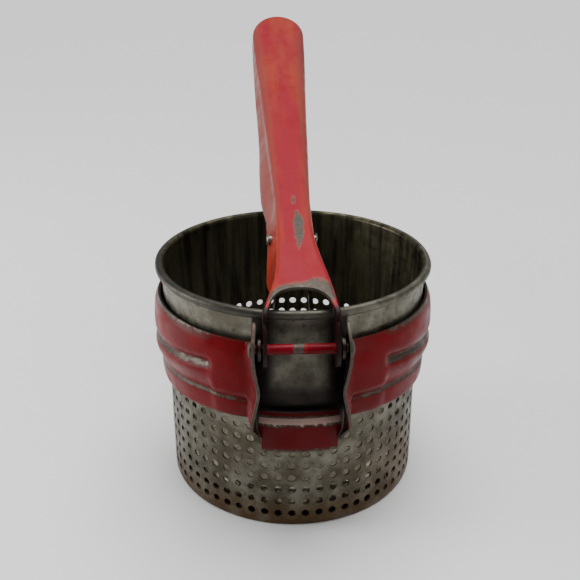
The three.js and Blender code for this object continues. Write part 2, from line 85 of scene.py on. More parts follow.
CURL = 1.5  # outside radius of the rolled rim
RIM_Z = WALL_HIGH[2] - CURL
RIM_R = WALL_HIGH[0] - CURL
TIN = 0.6  # basket sheet
WALL_TOP_R = RIM_R - 0.7  # outside of the wall under the rim
WALL_LOW_R = RIM_R - 1.8  # outside of the wall below the ring
PERFORATED_TOP = 45.2  # the wall widens from here up
SHEET = 1.2  # steel of the lever, the handle and its saddle
BAND_SHEET = 1.0  # steel of the ring
BAND_TOP = 70.2
EAR_X = 14.1  # middle of an ear's sheet
EAR_ROOT_Y = -46.6  # where the ears leave the ring
EAR_ROOT_R = 47.6  # the ring's radius there
# from none to all of the pocket between the ears: Y at its front, height at its bottom and top
POCKET_FRONT = (-38.5, -42.5)
POCKET_LOW = (31, 36)
POCKET_TOP = (81.5, 77.5)


# ---- mesh helpers -----------------------------------------------------------
def smoothstep(low, high, value):
    """0 up to low, 1 from high on, and a smooth rise between them."""
    t = min(1.0, max(0.0, (value - low) / (high - low)))
    return t * t * (3 - 2 * t)


def along(knots, t):
    """Value at t of a smooth curve through (t, value) knots."""
    if t <= knots[0][0]:
        return knots[0][1]
    for i in range(1, len(knots)):
        (t0, v0), (t1, v1) = knots[i - 1], knots[i]
        if t <= t1:
            before = knots[i - 2] if i > 1 else knots[i - 1]
            after = knots[i + 1] if i + 1 < len(knots) else knots[i]
            m0 = (v1 - before[1]) / max(1e-9, t1 - before[0]) * (t1 - t0)
            m1 = (after[1] - v0) / max(1e-9, after[0] - t0) * (t1 - t0)
            limit = 3 * abs(v1 - v0)
            m0 = max(-limit, min(limit, m0))
            m1 = max(-limit, min(limit, m1))
            f = (t - t0) / (t1 - t0)
            return (v0 * (2 * f**3 - 3 * f**2 + 1) + m0 * (f**3 - 2 * f**2 + f)
                    + v1 * (3 * f**2 - 2 * f**3) + m1 * (f**3 - f**2))
    return knots[-1][1]


def polar(radius, angle, z):
    """A place at an angle measured from the hinge, positive towards +X."""
    return (radius * math.sin(angle), -radius * math.cos(angle), z)


def new_object(name, data):
    obj = bpy.data.objects.new(name, data)
    bpy.context.scene.collection.objects.link(obj)
    return obj


def mesh_object(name, points, faces, wear_light_and_shade=None):
    """An object from points in millimetres; its last argument gives one number per point for wear,
    painted light and shade.
    """
    mesh = bpy.data.meshes.new(name)
    mesh.from_pydata([(x * MM, y * MM, z * MM) for x, y, z in points], [], faces)
    if wear_light_and_shade is not None:
        layer = mesh.attributes.new("wear_light_and_shade", "FLOAT", "POINT")
        layer.data.foreach_set("value", wear_light_and_shade)
    mesh.validate()
    return new_object(name, mesh)


def add_modifier(obj, kind, **settings):
    modifier = obj.modifiers.new(kind.lower(), kind)
    for key, value in settings.items():
        setattr(modifier, key, value)


def settle(obj, sharp=35):
    """Apply the modifiers, smooth the faces and keep edges above `sharp` degrees crisp."""
    depsgraph = bpy.context.evaluated_depsgraph_get()
    final = bpy.data.meshes.new_from_object(obj.evaluated_get(depsgraph))
    obj.modifiers.clear()
    old = obj.data
    obj.data = final
    final.name = old.name
    bpy.data.meshes.remove(old)
    for polygon in final.polygons:
        polygon.use_smooth = True
    final.set_sharp_from_angle(angle=math.radians(sharp))
    return obj


def thicken(obj, thickness, bevel=0.0, weld=True, sharp=35):
    """Give an open sheet its thickness on the side away from its normals."""
    if weld:
        add_modifier(obj, "WELD", merge_threshold=0.02 * MM)
    add_modifier(obj, "SOLIDIFY", thickness=thickness * MM, offset=-1, use_quality_normals=True)
    if bevel:
        add_modifier(obj, "BEVEL", width=bevel * MM, segments=2, limit_method="ANGLE",
                     angle_limit=math.radians(50))
    return settle(obj, sharp)


def join(name, pieces):
    """One object from several settled ones."""
    first = pieces[0]
    with bpy.context.temp_override(active_object=first, selected_editable_objects=pieces,
                                   object=first, selected_objects=pieces):
        bpy.ops.object.join()
    first.name = name
    return first


def sheet_faces(rows, columns, flip=False):
    """Quads of a grid of rows by columns of points."""
    faces = []
    for r in range(rows - 1):
        for c in range(columns - 1):
            start = r * columns + c
            quad = (start, start + 1, start + columns + 1, start + columns)
            faces.append(tuple(reversed(quad)) if flip else quad)
    return faces


def lathe(name, profile, segments, centre=(0, 0), jitter=0.0):
    """A turned piece from (radius, z) points that start and end on the axis or close on themselves."""
    points, faces = [], []
    count = len(profile)
    for s in range(segments):
        angle = TAU * s / segments
        for radius, z in profile:
            wobble = 1 + jitter * noise.noise(Vector((3 * math.sin(angle), 3 * math.cos(angle), z)))
            x, y, _ = polar(radius * wobble, angle, z)
            points.append((centre[0] + x, centre[1] + y, z))
    for s in range(segments):
        following = (s + 1) % segments
        for i in range(count - 1):
            faces.append((s * count + i, following * count + i, following * count + i + 1,
                          s * count + i + 1))
    obj = mesh_object(name, points, faces, [0.0] * len(points))
    add_modifier(obj, "WELD", merge_threshold=0.01 * MM)
    return obj


# ---- shader helpers ---------------------------------------------------------
class Shader:
    """A node material that starts from its Principled BSDF."""

    def __init__(self, name):
        self.material = bpy.data.materials.new(name)
        self.material.use_nodes = True
        self.nodes = self.material.node_tree.nodes
        self.links = self.material.node_tree.links
        self.surface = self.nodes["Principled BSDF"]

    def put(self, socket, value):
        if isinstance(value, bpy.types.NodeSocket):
            self.links.new(value, socket)
        elif value is not None:
            socket.default_value = value

    def node(self, kind, inputs=None, **settings):
        """A node with its settings, and with numbers or other outputs as its inputs."""
        node = self.nodes.new(kind)
        for key, value in settings.items():
            setattr(node, key, value)
        for key, value in (inputs or {}).items():
            self.put(node.inputs[key], value)
        return node

    def place(self):
        """The place on the piece, so that nothing slides when it moves."""
        return self.node("ShaderNodeTexCoord").outputs["Object"]

    def normal(self):
        return self.node("ShaderNodeTexCoord").outputs["Normal"]

    def outward(self):
        """Metres from the basket's axis, below 0 where the surface faces the axis."""
        x, y, _ = self.split(self.place())
        nx, ny, _ = self.split(self.normal())
        return self.math("ADD", self.times(x, nx), self.times(y, ny))

    def pocket(self):
        """1 in the pocket between the hinge ears, where painted shade and grime go."""
        x, y, z = self.split(self.place())
        across = self.fade_mm(self.math("ABSOLUTE", x), EAR_X + 0.9, EAR_X)
        front = self.fade_mm(y, *POCKET_FRONT)
        height = self.times(self.fade_mm(z, *POCKET_LOW), self.fade_mm(z, *POCKET_TOP))
        return self.times(self.times(across, front), height)

    def attribute(self, name):
        return self.node("ShaderNodeAttribute", attribute_name=name).outputs["Fac"]

    def stretch(self, scale):
        node = self.node("ShaderNodeMapping", {"Vector": self.place(), "Scale": scale})
        return node.outputs["Vector"]

    def noise(self, scale, detail=4, roughness=0.55, vector=None):
        """Noise whose scale is in features per metre."""
        inputs = {"Vector": vector or self.place(), "Scale": scale, "Detail": detail,
                  "Roughness": roughness}
        return self.node("ShaderNodeTexNoise", inputs).outputs["Fac"]

    def math(self, operation, a, b=None):
        return self.node("ShaderNodeMath", {0: a, 1: b}, operation=operation).outputs[0]

    def times(self, a, b):
        return self.math("MULTIPLY", a, b)

    def fade(self, value, low, high, to_low=0.0, to_high=1.0):
        """A smooth change from to_low to to_high while value goes from low to high."""
        inputs = {"Value": value, "From Min": low, "From Max": high, "To Min": to_low,
                  "To Max": to_high}
        node = self.node("ShaderNodeMapRange", inputs, interpolation_type="SMOOTHSTEP")
        return node.outputs["Result"]

    def fade_mm(self, value, low, high, to_low=0.0, to_high=1.0):
        """fade for a length or place, with low and high in millimetres."""
        return self.fade(value, low * MM, high * MM, to_low, to_high)

    def mix(self, factor, a, b):
        """Two colours mixed; 6, 7 and 2 are the node's colour sockets."""
        a, b = ((*colour, 1) if isinstance(colour, tuple) else colour for colour in (a, b))
        return self.node("ShaderNodeMix", {"Factor": factor, 6: a, 7: b}, data_type="RGBA").outputs[2]

    def split(self, vector):
        return self.node("ShaderNodeSeparateXYZ", {0: vector}).outputs

    def bump(self, height, strength, depth):
        """A bumped normal, depth in millimetres."""
        inputs = {"Height": height, "Strength": strength, "Distance": depth * MM}
        return self.node("ShaderNodeBump", inputs).outputs["Normal"]

    def set(self, **values):
        """Set the surface's inputs, such as base_color or roughness, and return the material."""
        for key, value in values.items():
            if isinstance(value, tuple):
                value = (*value, 1)
            self.put(self.surface.inputs[key.replace("_", " ").title()], value)
        return self.material


def srgb(red, green, blue):
    """A colour given as it looks on screen, 0 to 255, as linear numbers."""
    return tuple(c / 255 / 12.92 if c <= 10 else ((c / 255 + 0.055) / 1.055) ** 2.4
                 for c in (red, green, blue))


# ---- materials --------------------------------------------------------------
def enamel(name, body, faded, dark, chalky, cloud_scale, shade_and_grime_share=0.0):
    """Red enamel with a cloudy tone and small chips.

    The mesh's wear attribute, which holds painted light and shade too, says how the paint has fared:
    painted shade below 0, chalky paint from 0.1, bare steel with a ragged outline from about 0.5,
    and above 1 bare steel made paler as painted light. cloud_scale is in features per metre along
    each axis. In the pocket between the ears, faces turned to the middle get all of the painted
    shade and grime, and the others get the share given as the last argument.
    """
    shader = Shader(name)
    wear_light_and_shade = shader.attribute("wear_light_and_shade")
    cloud = shader.fade(shader.noise(1.0, 3, 0.55, shader.stretch(cloud_scale)), 0.4, 0.62)
    speckle = shader.fade(shader.noise(900, 5, 0.6), 0.52, 0.75, 0, 0.45)
    paint = shader.mix(cloud, body, faded)
    paint = shader.mix(speckle, paint, dark)
    paint = shader.mix(shader.fade(wear_light_and_shade, 0.1, 0.34, 0, 0.75), paint, chalky)
    chips = shader.fade(shader.noise(330, 6, 0.62), 0.695, 0.715)
    paint = shader.mix(chips, paint, srgb(58, 40, 34))

    uneven = shader.fade(shader.noise(420, 6, 0.7), 0.3, 0.75, -0.35, 0.3)
    bare = shader.fade(shader.math("ADD", wear_light_and_shade, uneven), 0.5, 0.6)
    metal = shader.mix(shader.noise(700, 4), srgb(52, 46, 40), srgb(108, 98, 88))
    # above 1 the bare steel turns much paler: painted light on rubbed steel
    metal = shader.mix(shader.fade(wear_light_and_shade, 1.0, 1.15), metal, srgb(180, 152, 140))
    colour = shader.mix(bare, paint, metal)
    # below 0 the colour goes to deep maroon: painted shade
    colour = shader.mix(shader.fade(wear_light_and_shade, -0.05, -0.7), colour, srgb(34, 12, 13))

    # painted shade and grime in the pocket between the ears, fullest on faces turned to the middle
    if shade_and_grime_share:
        x, _, _ = shader.split(shader.place())
        nx, _, _ = shader.split(shader.normal())
        facing_in = shader.fade_mm(shader.times(x, nx), 1, -6)
        grime_and_shade = shader.math("MAXIMUM", facing_in, shade_and_grime_share)
        grime_and_shade = shader.times(grime_and_shade, shader.math("SUBTRACT", 1.0, bare))
        grime_and_shade = shader.times(shader.pocket(), grime_and_shade)
        colour = shader.mix(grime_and_shade, colour, srgb(34, 10, 12))

    roughness = shader.fade(shader.noise(160, 4), 0.3, 0.75, 0.3, 0.52)
    grit = shader.times(shader.noise(1600, 3, 0.5), 0.15)
    depth = shader.math("SUBTRACT", grit, shader.math("MAXIMUM", bare, chips))
    shader.surface.inputs["Specular IOR Level"].default_value = 0.14
    return shader.set(base_color=colour, metallic=shader.times(bare, 0.35),
                      roughness=roughness, normal=shader.bump(depth, 0.5, 0.08))


def tarnished_tin(name, light, mid, dark):
    """Dull tin plate: cloudy grey, browner near the bottom, with painted shade inside the basket, where
    lighter streaks are painted reflections.
    """
    shader = Shader(name)
    x, _, z = shader.split(shader.place())
    clouds = shader.noise(95, 6, 0.62)
    streaks = shader.noise(1.0, 5, 0.6, shader.stretch((300, 300, 22)))
    colour = shader.mix(shader.fade(clouds, 0.34, 0.66), light, mid)
    colour = shader.mix(shader.fade(shader.noise(460, 5, 0.7), 0.52, 0.72, 0, 0.7), colour, dark)

    # rust along the bottom edge, and a brown tint higher up on the right
    rust_and_tint = shader.times(shader.fade_mm(z, 14, 1), shader.fade(clouds, 0.3, 0.6, 0.25, 0.9))
    right = shader.times(shader.fade_mm(x, 12, 42), shader.fade_mm(z, 34, 12))
    rust_and_tint = shader.math("MAXIMUM", rust_and_tint, shader.times(right, 0.55))
    colour = shader.mix(rust_and_tint, colour, srgb(104, 72, 36))

    # brown soil on the perforated part, and painted shade on the top of the rim, deeper on the left
    soil = shader.times(shader.fade_mm(z, 48, 30), shader.fade(clouds, 0.3, 0.62, 0.25, 0.62))
    colour = shader.mix(soil, colour, srgb(52, 45, 31))
    rim = shader.times(shader.fade_mm(z, 77.2, 78.6), shader.fade_mm(x, 30, -20, 0.25, 0.75))
    colour = shader.mix(rim, colour, srgb(50, 50, 46))

    # painted shade inside the basket: faces turned to the axis get a darker colour, with lighter
    # streaks as painted reflections
    inside = shader.fade_mm(shader.outward(), -4, -20)
    stain = shader.mix(shader.fade(streaks, 0.3, 0.7), srgb(24, 22, 15), srgb(92, 88, 66))
    colour = shader.mix(shader.times(inside, 0.9), colour, stain)

    # painted shade and grime between the ears, deepest beside them and low down
    beside = shader.fade_mm(shader.math("ABSOLUTE", x), 6, 11.5)
    grime_and_shade = shader.math("MAXIMUM", beside, shader.fade_mm(z, 58, 50))
    grime_and_shade = shader.times(shader.pocket(), shader.fade(grime_and_shade, 0, 1, 0.55, 0.97))
    colour = shader.mix(grime_and_shade, colour, srgb(24, 18, 16))

    roughness = shader.fade(shader.noise(260, 5), 0.3, 0.72, 0.36, 0.6)
    dents = shader.math("ADD", shader.noise(120, 3), shader.times(streaks, 0.35))
    return shader.set(base_color=colour, metallic=0.82, roughness=roughness,
                      normal=shader.bump(dents, 0.35, 0.3))


def rubbed_steel(name, tone, stain):
    """Unpainted metal with fine stains."""
    shader = Shader(name)
    colour = shader.mix(shader.fade(shader.noise(900, 5, 0.65), 0.4, 0.7), tone, stain)
    return shader.set(base_color=colour, metallic=0.9,
                      roughness=shader.fade(shader.noise(1500, 3), 0.3, 0.7, 0.26, 0.48),
                      normal=shader.bump(shader.noise(1100, 4), 0.3, 0.08))


BAND_RED = enamel("crimson_enamel", srgb(112, 2, 8), srgb(128, 4, 16), srgb(44, 3, 5),
                  srgb(96, 40, 34), (45, 45, 45), 0.3)
PIN_RED = enamel("pin_enamel", srgb(120, 3, 20), srgb(136, 6, 30), srgb(70, 4, 12),
                 srgb(150, 30, 36), (60, 60, 60))
LEVER_RED = enamel("faded_enamel", srgb(160, 22, 40), srgb(170, 54, 38), srgb(100, 24, 24),
                   srgb(140, 84, 74), (110, 14, 14), 0.7)
TIN_PLATE = tarnished_tin("tarnished_tin", srgb(122, 119, 107), srgb(86, 82, 69),
                          srgb(44, 41, 31))
# a pale tin for the disc deep in the basket: painted light
LIT_PLUNGER_TIN = rubbed_steel("lit_plunger_tin", srgb(206, 198, 178), srgb(146, 134, 110))
# a darker copy of the plunger's steel: painted shade on the yoke
SHADED_YOKE_TIN = rubbed_steel("shaded_yoke_tin", srgb(112, 104, 88), srgb(62, 54, 42))
# a dark steel for the washers between the ears and the lever
DARK_STEEL = rubbed_steel("dark_steel", srgb(60, 54, 48), srgb(26, 22, 20))
RIVET_STEEL = rubbed_steel("rubbed_steel", srgb(150, 143, 130), srgb(84, 74, 62))


def finish_piece(obj, material, body, slot, *nodes):
    """Give a piece its material and body, and let it stand for its CAD nodes."""
    obj.data.materials.clear()
    obj.data.materials.append(material)
    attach(obj, body)
    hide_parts(*nodes)


# ---- basket -----------------------------------------------------------------
HOLE_COLUMNS = 60
HOLE_ROWS = 9
HOLE_PITCH = 4.75
HOLE_BASE = 4.8  # centre of the lowest row
HOLE_R = 1.36
SEAM_CELL = 25  # column that holds the lock seam
SPLIT = 4  # grid steps along one side of a hole's cell
SEAM_LIFT = 0.55
SEAM_HALF = 2.0
PLAIN_STEPS = 14  # grid steps between the holes and the rim
CURL_STEPS = 18
# rings of points around a hole, as (radius in hole radii, rise towards the basket's axis)
HOLE_RINGS = ((1.22, 0.0), (1.08, -0.01), (1.0, 0.0))


def wall_inside(z):
    """Inside radius of the wall."""
    rise = max(0.0, (z - PERFORATED_TOP) / (RIM_Z - 3 - PERFORATED_TOP))
    return WALL_LOW_R - TIN + (WALL_TOP_R - WALL_LOW_R) * min(1.0, rise)


def seam_lift(angle):
    """The lock seam stands a little proud of the inside of the wall."""
    centre = (SEAM_CELL + 0.5) * TAU / HOLE_COLUMNS
    off = abs((angle - centre + math.pi) % TAU - math.pi) * WALL_LOW_R
    return SEAM_LIFT * (1 - smoothstep(SEAM_HALF - 0.3, SEAM_HALF + 0.3, off))


def basket_shell():
    """Perforated wall whose top edge rolls outwards round the rim wire."""
    random.seed(11)
    columns = HOLE_COLUMNS * SPLIT
    heights = [HOLE_BASE - HOLE_PITCH / 2 + HOLE_PITCH * i / SPLIT
               for i in range(HOLE_ROWS * SPLIT + 1)]
    lower = [(WALL_LOW_R - TIN - 0.2, 0.35), (WALL_LOW_R - TIN - 0.05, 0.8), (WALL_LOW_R - TIN, 1.6)]
    upper = [(wall_inside(z), z) for z in
             [heights[-1] + (RIM_Z - 2.4 - heights[-1]) * i / PLAIN_STEPS
              for i in range(1, PLAIN_STEPS + 1)]]
    curl = [(RIM_R + CURL * math.cos(a), RIM_Z + CURL * math.sin(a))
            for a in [math.radians(180 - 270 * i / CURL_STEPS) for i in range(CURL_STEPS + 1)]]
    profile = lower + [(wall_inside(z), z) for z in heights] + upper + curl
    first_hole_row = len(lower)
    grid, points, faces = {}, [], []

    def corner(row, column):
        column %= columns
        key = (row, column)
        if key not in grid:
            angle = TAU * column / columns
            radius, z = profile[row]
            lift = seam_lift(angle) if z < RIM_Z - 1.5 and row > 2 else 0.0
            dent = 0.22 * noise.noise(Vector((2.2 * math.sin(angle), 2.2 * math.cos(angle), z / 26)))
            grid[key] = len(points)
            points.append(polar(radius - lift + dent, angle, z))
        return grid[key]

    for row in range(len(profile) - 1):
        in_holes = first_hole_row <= row < first_hole_row + HOLE_ROWS * SPLIT
        for column in range(columns):
            if in_holes and column // SPLIT != SEAM_CELL:
                continue
            faces.append((corner(row, column), corner(row + 1, column),
                          corner(row + 1, column + 1), corner(row, column + 1)))
    for cell_row in range(HOLE_ROWS):
        for cell in range(HOLE_COLUMNS):
            if cell == SEAM_CELL:
                continue
            row0, column0 = first_hole_row + cell_row * SPLIT, cell * SPLIT
            steps = range(SPLIT)
            edge = ([(row0, column0 + k) for k in steps] + [(row0 + k, column0 + SPLIT) for k in steps]
                    + [(row0 + SPLIT, column0 + SPLIT - k) for k in steps]
                    + [(row0 + SPLIT - k, column0) for k in steps])
            ring = [corner(*place) for place in edge]
            angle = TAU * (cell + 0.5) / HOLE_COLUMNS + random.uniform(-0.002, 0.002)
            z = HOLE_BASE + HOLE_PITCH * cell_row + random.uniform(-0.08, 0.08)
            size = HOLE_R * random.uniform(0.93, 1.03)
            previous = ring
            for reach, rise in HOLE_RINGS:
                following = []
                for k in range(4 * SPLIT):
                    turn = math.radians(225 + 90 * k / SPLIT)
                    across, up = size * reach * math.cos(turn), size * reach * math.sin(turn)
                    radius = wall_inside(z) - rise
                    following.append(len(points))
                    points.append(polar(radius, angle + across / WALL_LOW_R, z + up))
                for k in range(4 * SPLIT):
                    n = (k + 1) % (4 * SPLIT)
                    faces.append((previous[k], following[k], following[n], previous[n]))
                previous = following
    shell = mesh_object("basket_shell", points, faces)
    return thicken(shell, TIN, weld=False, sharp=40)


def perforated_disc(name, radius, top, thickness, pitch, hole_r, keep):
    """Flat round plate with a square grid of holes."""
    segments, sides = 96, 12
    points = [Vector((radius * math.cos(TAU * i / segments), radius * math.sin(TAU * i / segments)))
              for i in range(segments)]
    loops = [list(range(segments))]
    centres = []
    reach = int(keep / pitch) + 1
    for i in range(-reach, reach + 1):
        for j in range(-reach, reach + 1):
            centre = Vector((i * pitch, j * pitch))
            if centre.length < keep:
                centres.append(centre)
                start = len(points)
                points += [centre + hole_r * Vector((math.cos(TAU * k / sides),
                                                     math.sin(TAU * k / sides))) for k in range(sides)]
                loops.append(list(range(start, start + sides)))
    edges = [(loop[k], loop[(k + 1) % len(loop)]) for loop in loops for k in range(len(loop))]
    flat, _, triangles, *_ = geometry.delaunay_2d_cdt(points, edges, [], 0, 1e-6)
    faces = []
    for face in triangles:
        middle = sum((flat[i] for i in face), Vector((0, 0))) / len(face)
        near = min((middle - centre).length for centre in centres)
        if near > hole_r * 0.97 and middle.length < radius:
            faces.append(tuple(face))
    plate = mesh_object(name, [(p.x, p.y, top) for p in flat], faces)
    return thicken(plate, thickness, weld=False, sharp=30)


def basket_floor():
    """The perforated bottom plate with its turned-up edge."""
    edge = BOTTOM_HIGH[0]
    plate = perforated_disc("basket_floor", edge - 1.2, 0.75, TIN, HOLE_PITCH, HOLE_R, edge - 4.5)
    profile = [(edge - 1.5, 0.05), (edge - 0.7, 0.25), (edge - 0.1, 0.8), (edge, 1.6), (edge, 3.0),
               (edge - 0.5, 3.0), (edge - 0.5, 1.7), (edge - 0.8, 1.1), (edge - 1.5, 0.75),
               (edge - 1.5, 0.05)]
    flange = settle(lathe("basket_floor_edge", profile, 120))
    return join("basket_floor", [plate, flange])


# ---- ring with hinge ears ---------------------------------------------------
def band_lower_edge(angle):
    """Height of the ring's lower edge, which dips towards the sides."""
    side = abs(math.sin(angle))
    if math.cos(angle) > 0:
        return 43.3 - 3.3 * side ** 1.5
    return 44.0 - 4.0 * side ** 2.5


def rib_depth(angle):
    """0 near the hinge and the handle, 1 where the ring is ribbed."""
    from_front = math.degrees(math.acos(math.cos(angle)))
    from_end = min(from_front, 180 - from_front)
    return smoothstep(33.5, 37.5, from_end)


def band_outline(angle):
    """The ring's outside as (radius, height) points, and the heights of its crease and lip."""
    side = abs(math.sin(angle))
    low = band_lower_edge(angle)
    crease = 61.8 - 5.6 * side ** 3
    lip = 49.6 - 3.6 * side ** 6
    plain = [(46.9, BAND_TOP), (48.1, BAND_TOP - 3.6), (48.6, crease + 3), (48.9, crease + 1),
             (49.0, crease - 0.4), (49.0, crease - 2), (48.95, crease - 3.6), (48.8, lip + 3.2),
             (48.0, lip + 1.4), (46.8, lip), (47.35, lip - 1.3), (46.9, low + 1), (46.3, low)]
    ribbed = [(46.9, BAND_TOP), (48.1, BAND_TOP - 3.2), (48.55, crease + 3), (48.0, crease + 1),
              (46.95, crease - 0.1), (48.0, crease - 2), (48.6, crease - 3.6), (47.6, lip + 3.2),
              (46.7, lip + 1.4), (46.2, lip), (46.75, lip - 1.3), (46.5, low + 1), (46.1, low)]
    amount = rib_depth(angle)
    return [(p[0] + (r[0] - p[0]) * amount, p[1] + (r[1] - p[1]) * amount)
            for p, r in zip(plain, ribbed)], crease, lip


def band_surface(angle, z):
    """The ring's outside radius at a place."""
    outline, _, _ = band_outline(angle)
    return along(sorted((height, radius) for radius, height in outline), z)


def band_wear(angle, z):
    """How far the enamel is rubbed off: under the crease and the lip, and along both edges."""
    _, crease, lip = band_outline(angle)
    amount = rib_depth(angle)
    from_front = math.degrees(math.acos(math.cos(angle)))
    wear_light_and_shade = 0.95 * amount * math.exp(-((z - crease + 1.3) / 1.15) ** 2)
    reach = smoothstep(19, 30, min(from_front, 180 - from_front))
    wear_light_and_shade = max(wear_light_and_shade, (0.3 + 0.62 * reach) * math.exp(-((z - lip + 0.55) / 0.75) ** 2))
    wear_light_and_shade = max(wear_light_and_shade, 0.6 * math.exp(-((z - band_lower_edge(angle)) / 0.4) ** 2))
    return max(wear_light_and_shade, (0.4 + 0.4 * amount) * math.exp(-((z - BAND_TOP) / (0.5 + 1.4 * amount)) ** 2))


EAR_ANGLE = math.asin(EAR_X / EAR_ROOT_R)
EAR_BEND = 0.055  # angle that the bend into an ear takes up
# heights of an ear's top and bottom, from 0 at the ring to 1 at its free edge
EAR_TOP = [(0, BAND_TOP), (0.16, 74.2), (0.3, 78.0), (0.44, 79.6), (0.6, 79.6), (0.8, 78.6),
           (1, 75.6)]
EAR_LOW = [(0, 39.8), (0.12, 37.4), (0.28, 36.6), (0.46, 37.6), (0.64, 39.4), (0.8, 41.4), (1, 44.0)]
# by height: Y of an ear's free edge, and how far that edge leans out
EAR_FRONT = [(40, -52.2), (43, -53.4), (46.5, -54.6), (52, -54.8), (57.5, -55.2), (62.5, -56.4),
             (68.5, -57.2), (72.6, -57.1), (76.4, -55.8), (79, -54.0)]
EAR_LEAN = [(34, -2.6), (37, -2.0), (41, -0.1), (44, 0.9), (47, 0.8), (53, -0.5), (58, -1.3),
            (64, -0.5), (70, 0.2), (75, 0.1), (79, -0.6)]


def ring_sheet():
    """The pressed ring and both hinge ears as one sheet with rounded bends."""
    around, rows = 300, 56
    ear_stations = (0, 0.12, 0.28, 0.46, 0.64, 0.8, 0.92, 0.975, 1)
    start = EAR_ANGLE + EAR_BEND
    path = [("ear", -1, value) for value in reversed(ear_stations)]
    path += [("ring", 0, -start - (TAU - 2 * start) * i / around) for i in range(around + 1)]
    path += [("ear", 1, value) for value in ear_stations]
    points, wear_light_and_shade = [], []
    for kind, side, value in path:
        for row in range(rows + 1):
            v = row / rows
            if kind == "ring":
                low = band_lower_edge(value)
                z = low + (BAND_TOP - low) * v
                points.append(polar(band_surface(value, z), value, z))
                wear_light_and_shade.append(band_wear(value, z))
                continue
            low, top = along(EAR_LOW, value), along(EAR_TOP, value)
            z = low + (top - low) * v
            y = EAR_ROOT_Y + (along(EAR_FRONT, z) - EAR_ROOT_Y) * value
            x = EAR_X + 0.6 + along(EAR_LEAN, z) * value - 2.0 * (1 - smoothstep(33, 41, z))
            if value < 0.12:
                x += 0.9 * (1 - value / 0.12)
            points.append((side * x, y, z))
            rim = math.exp(-min(z - low, top - z) / 0.35)
            wear_light_and_shade.append(max(smoothstep(0.92, 1.0, value), rim))
    sheet = mesh_object("ring_sheet", points, sheet_faces(len(path), rows + 1), wear_light_and_shade)
    return thicken(sheet, BAND_SHEET, bevel=0.22, weld=False)


# the cross plate from its ledge down, as (radius, height)
CROSS_SECTION = [(45.2, 45.4), (45.7, 45.3), (46.5, 44.7), (47.2, 43.8), (47.7, 42.7), (47.9, 42.0),
                 (48.0, 41.2), (48.05, 40.4), (48.1, 38.0), (48.05, 34.6), (47.9, 33.2), (47.8, 32.7)]
CROSS_R = 48.0
CROSS_NARROW = (39, 0.93)  # below this height it is narrower by this factor


def cross_plate():
    """The plate that joins the ears under the window, with its rubbed ledge."""
    half = math.asin((EAR_X - 1.2) / CROSS_R)
    columns = 60
    points, wear_light_and_shade = [], []
    for radius, z in CROSS_SECTION:
        shrink = 1.0 if z > CROSS_NARROW[0] else CROSS_NARROW[1]
        for c in range(columns + 1):
            angle = half * shrink * (2 * c / columns - 1)
            points.append(polar(radius, angle, z))
            ragged = 0.7 * noise.noise(Vector((angle * 34, 0, 3)))
            ledge = smoothstep(41.5, 42.5, z + ragged) * (1 - smoothstep(44.2, 44.9, z))
            # the ledge is rubbed bare, and 1.3 makes it paler than plain bare steel: painted light
            rubbed = max(1.3 * ledge, 0.8 * (1 - smoothstep(33.2, 34.0, z)))
            # the strip above the ledge goes dark: painted shade
            wear_light_and_shade.append(rubbed - 0.9 * smoothstep(44.6, 45.2, z))
    plate = mesh_object("cross_plate", points, sheet_faces(len(CROSS_SECTION), columns + 1), wear_light_and_shade)
    return thicken(plate, BAND_SHEET, bevel=0.2, weld=False)


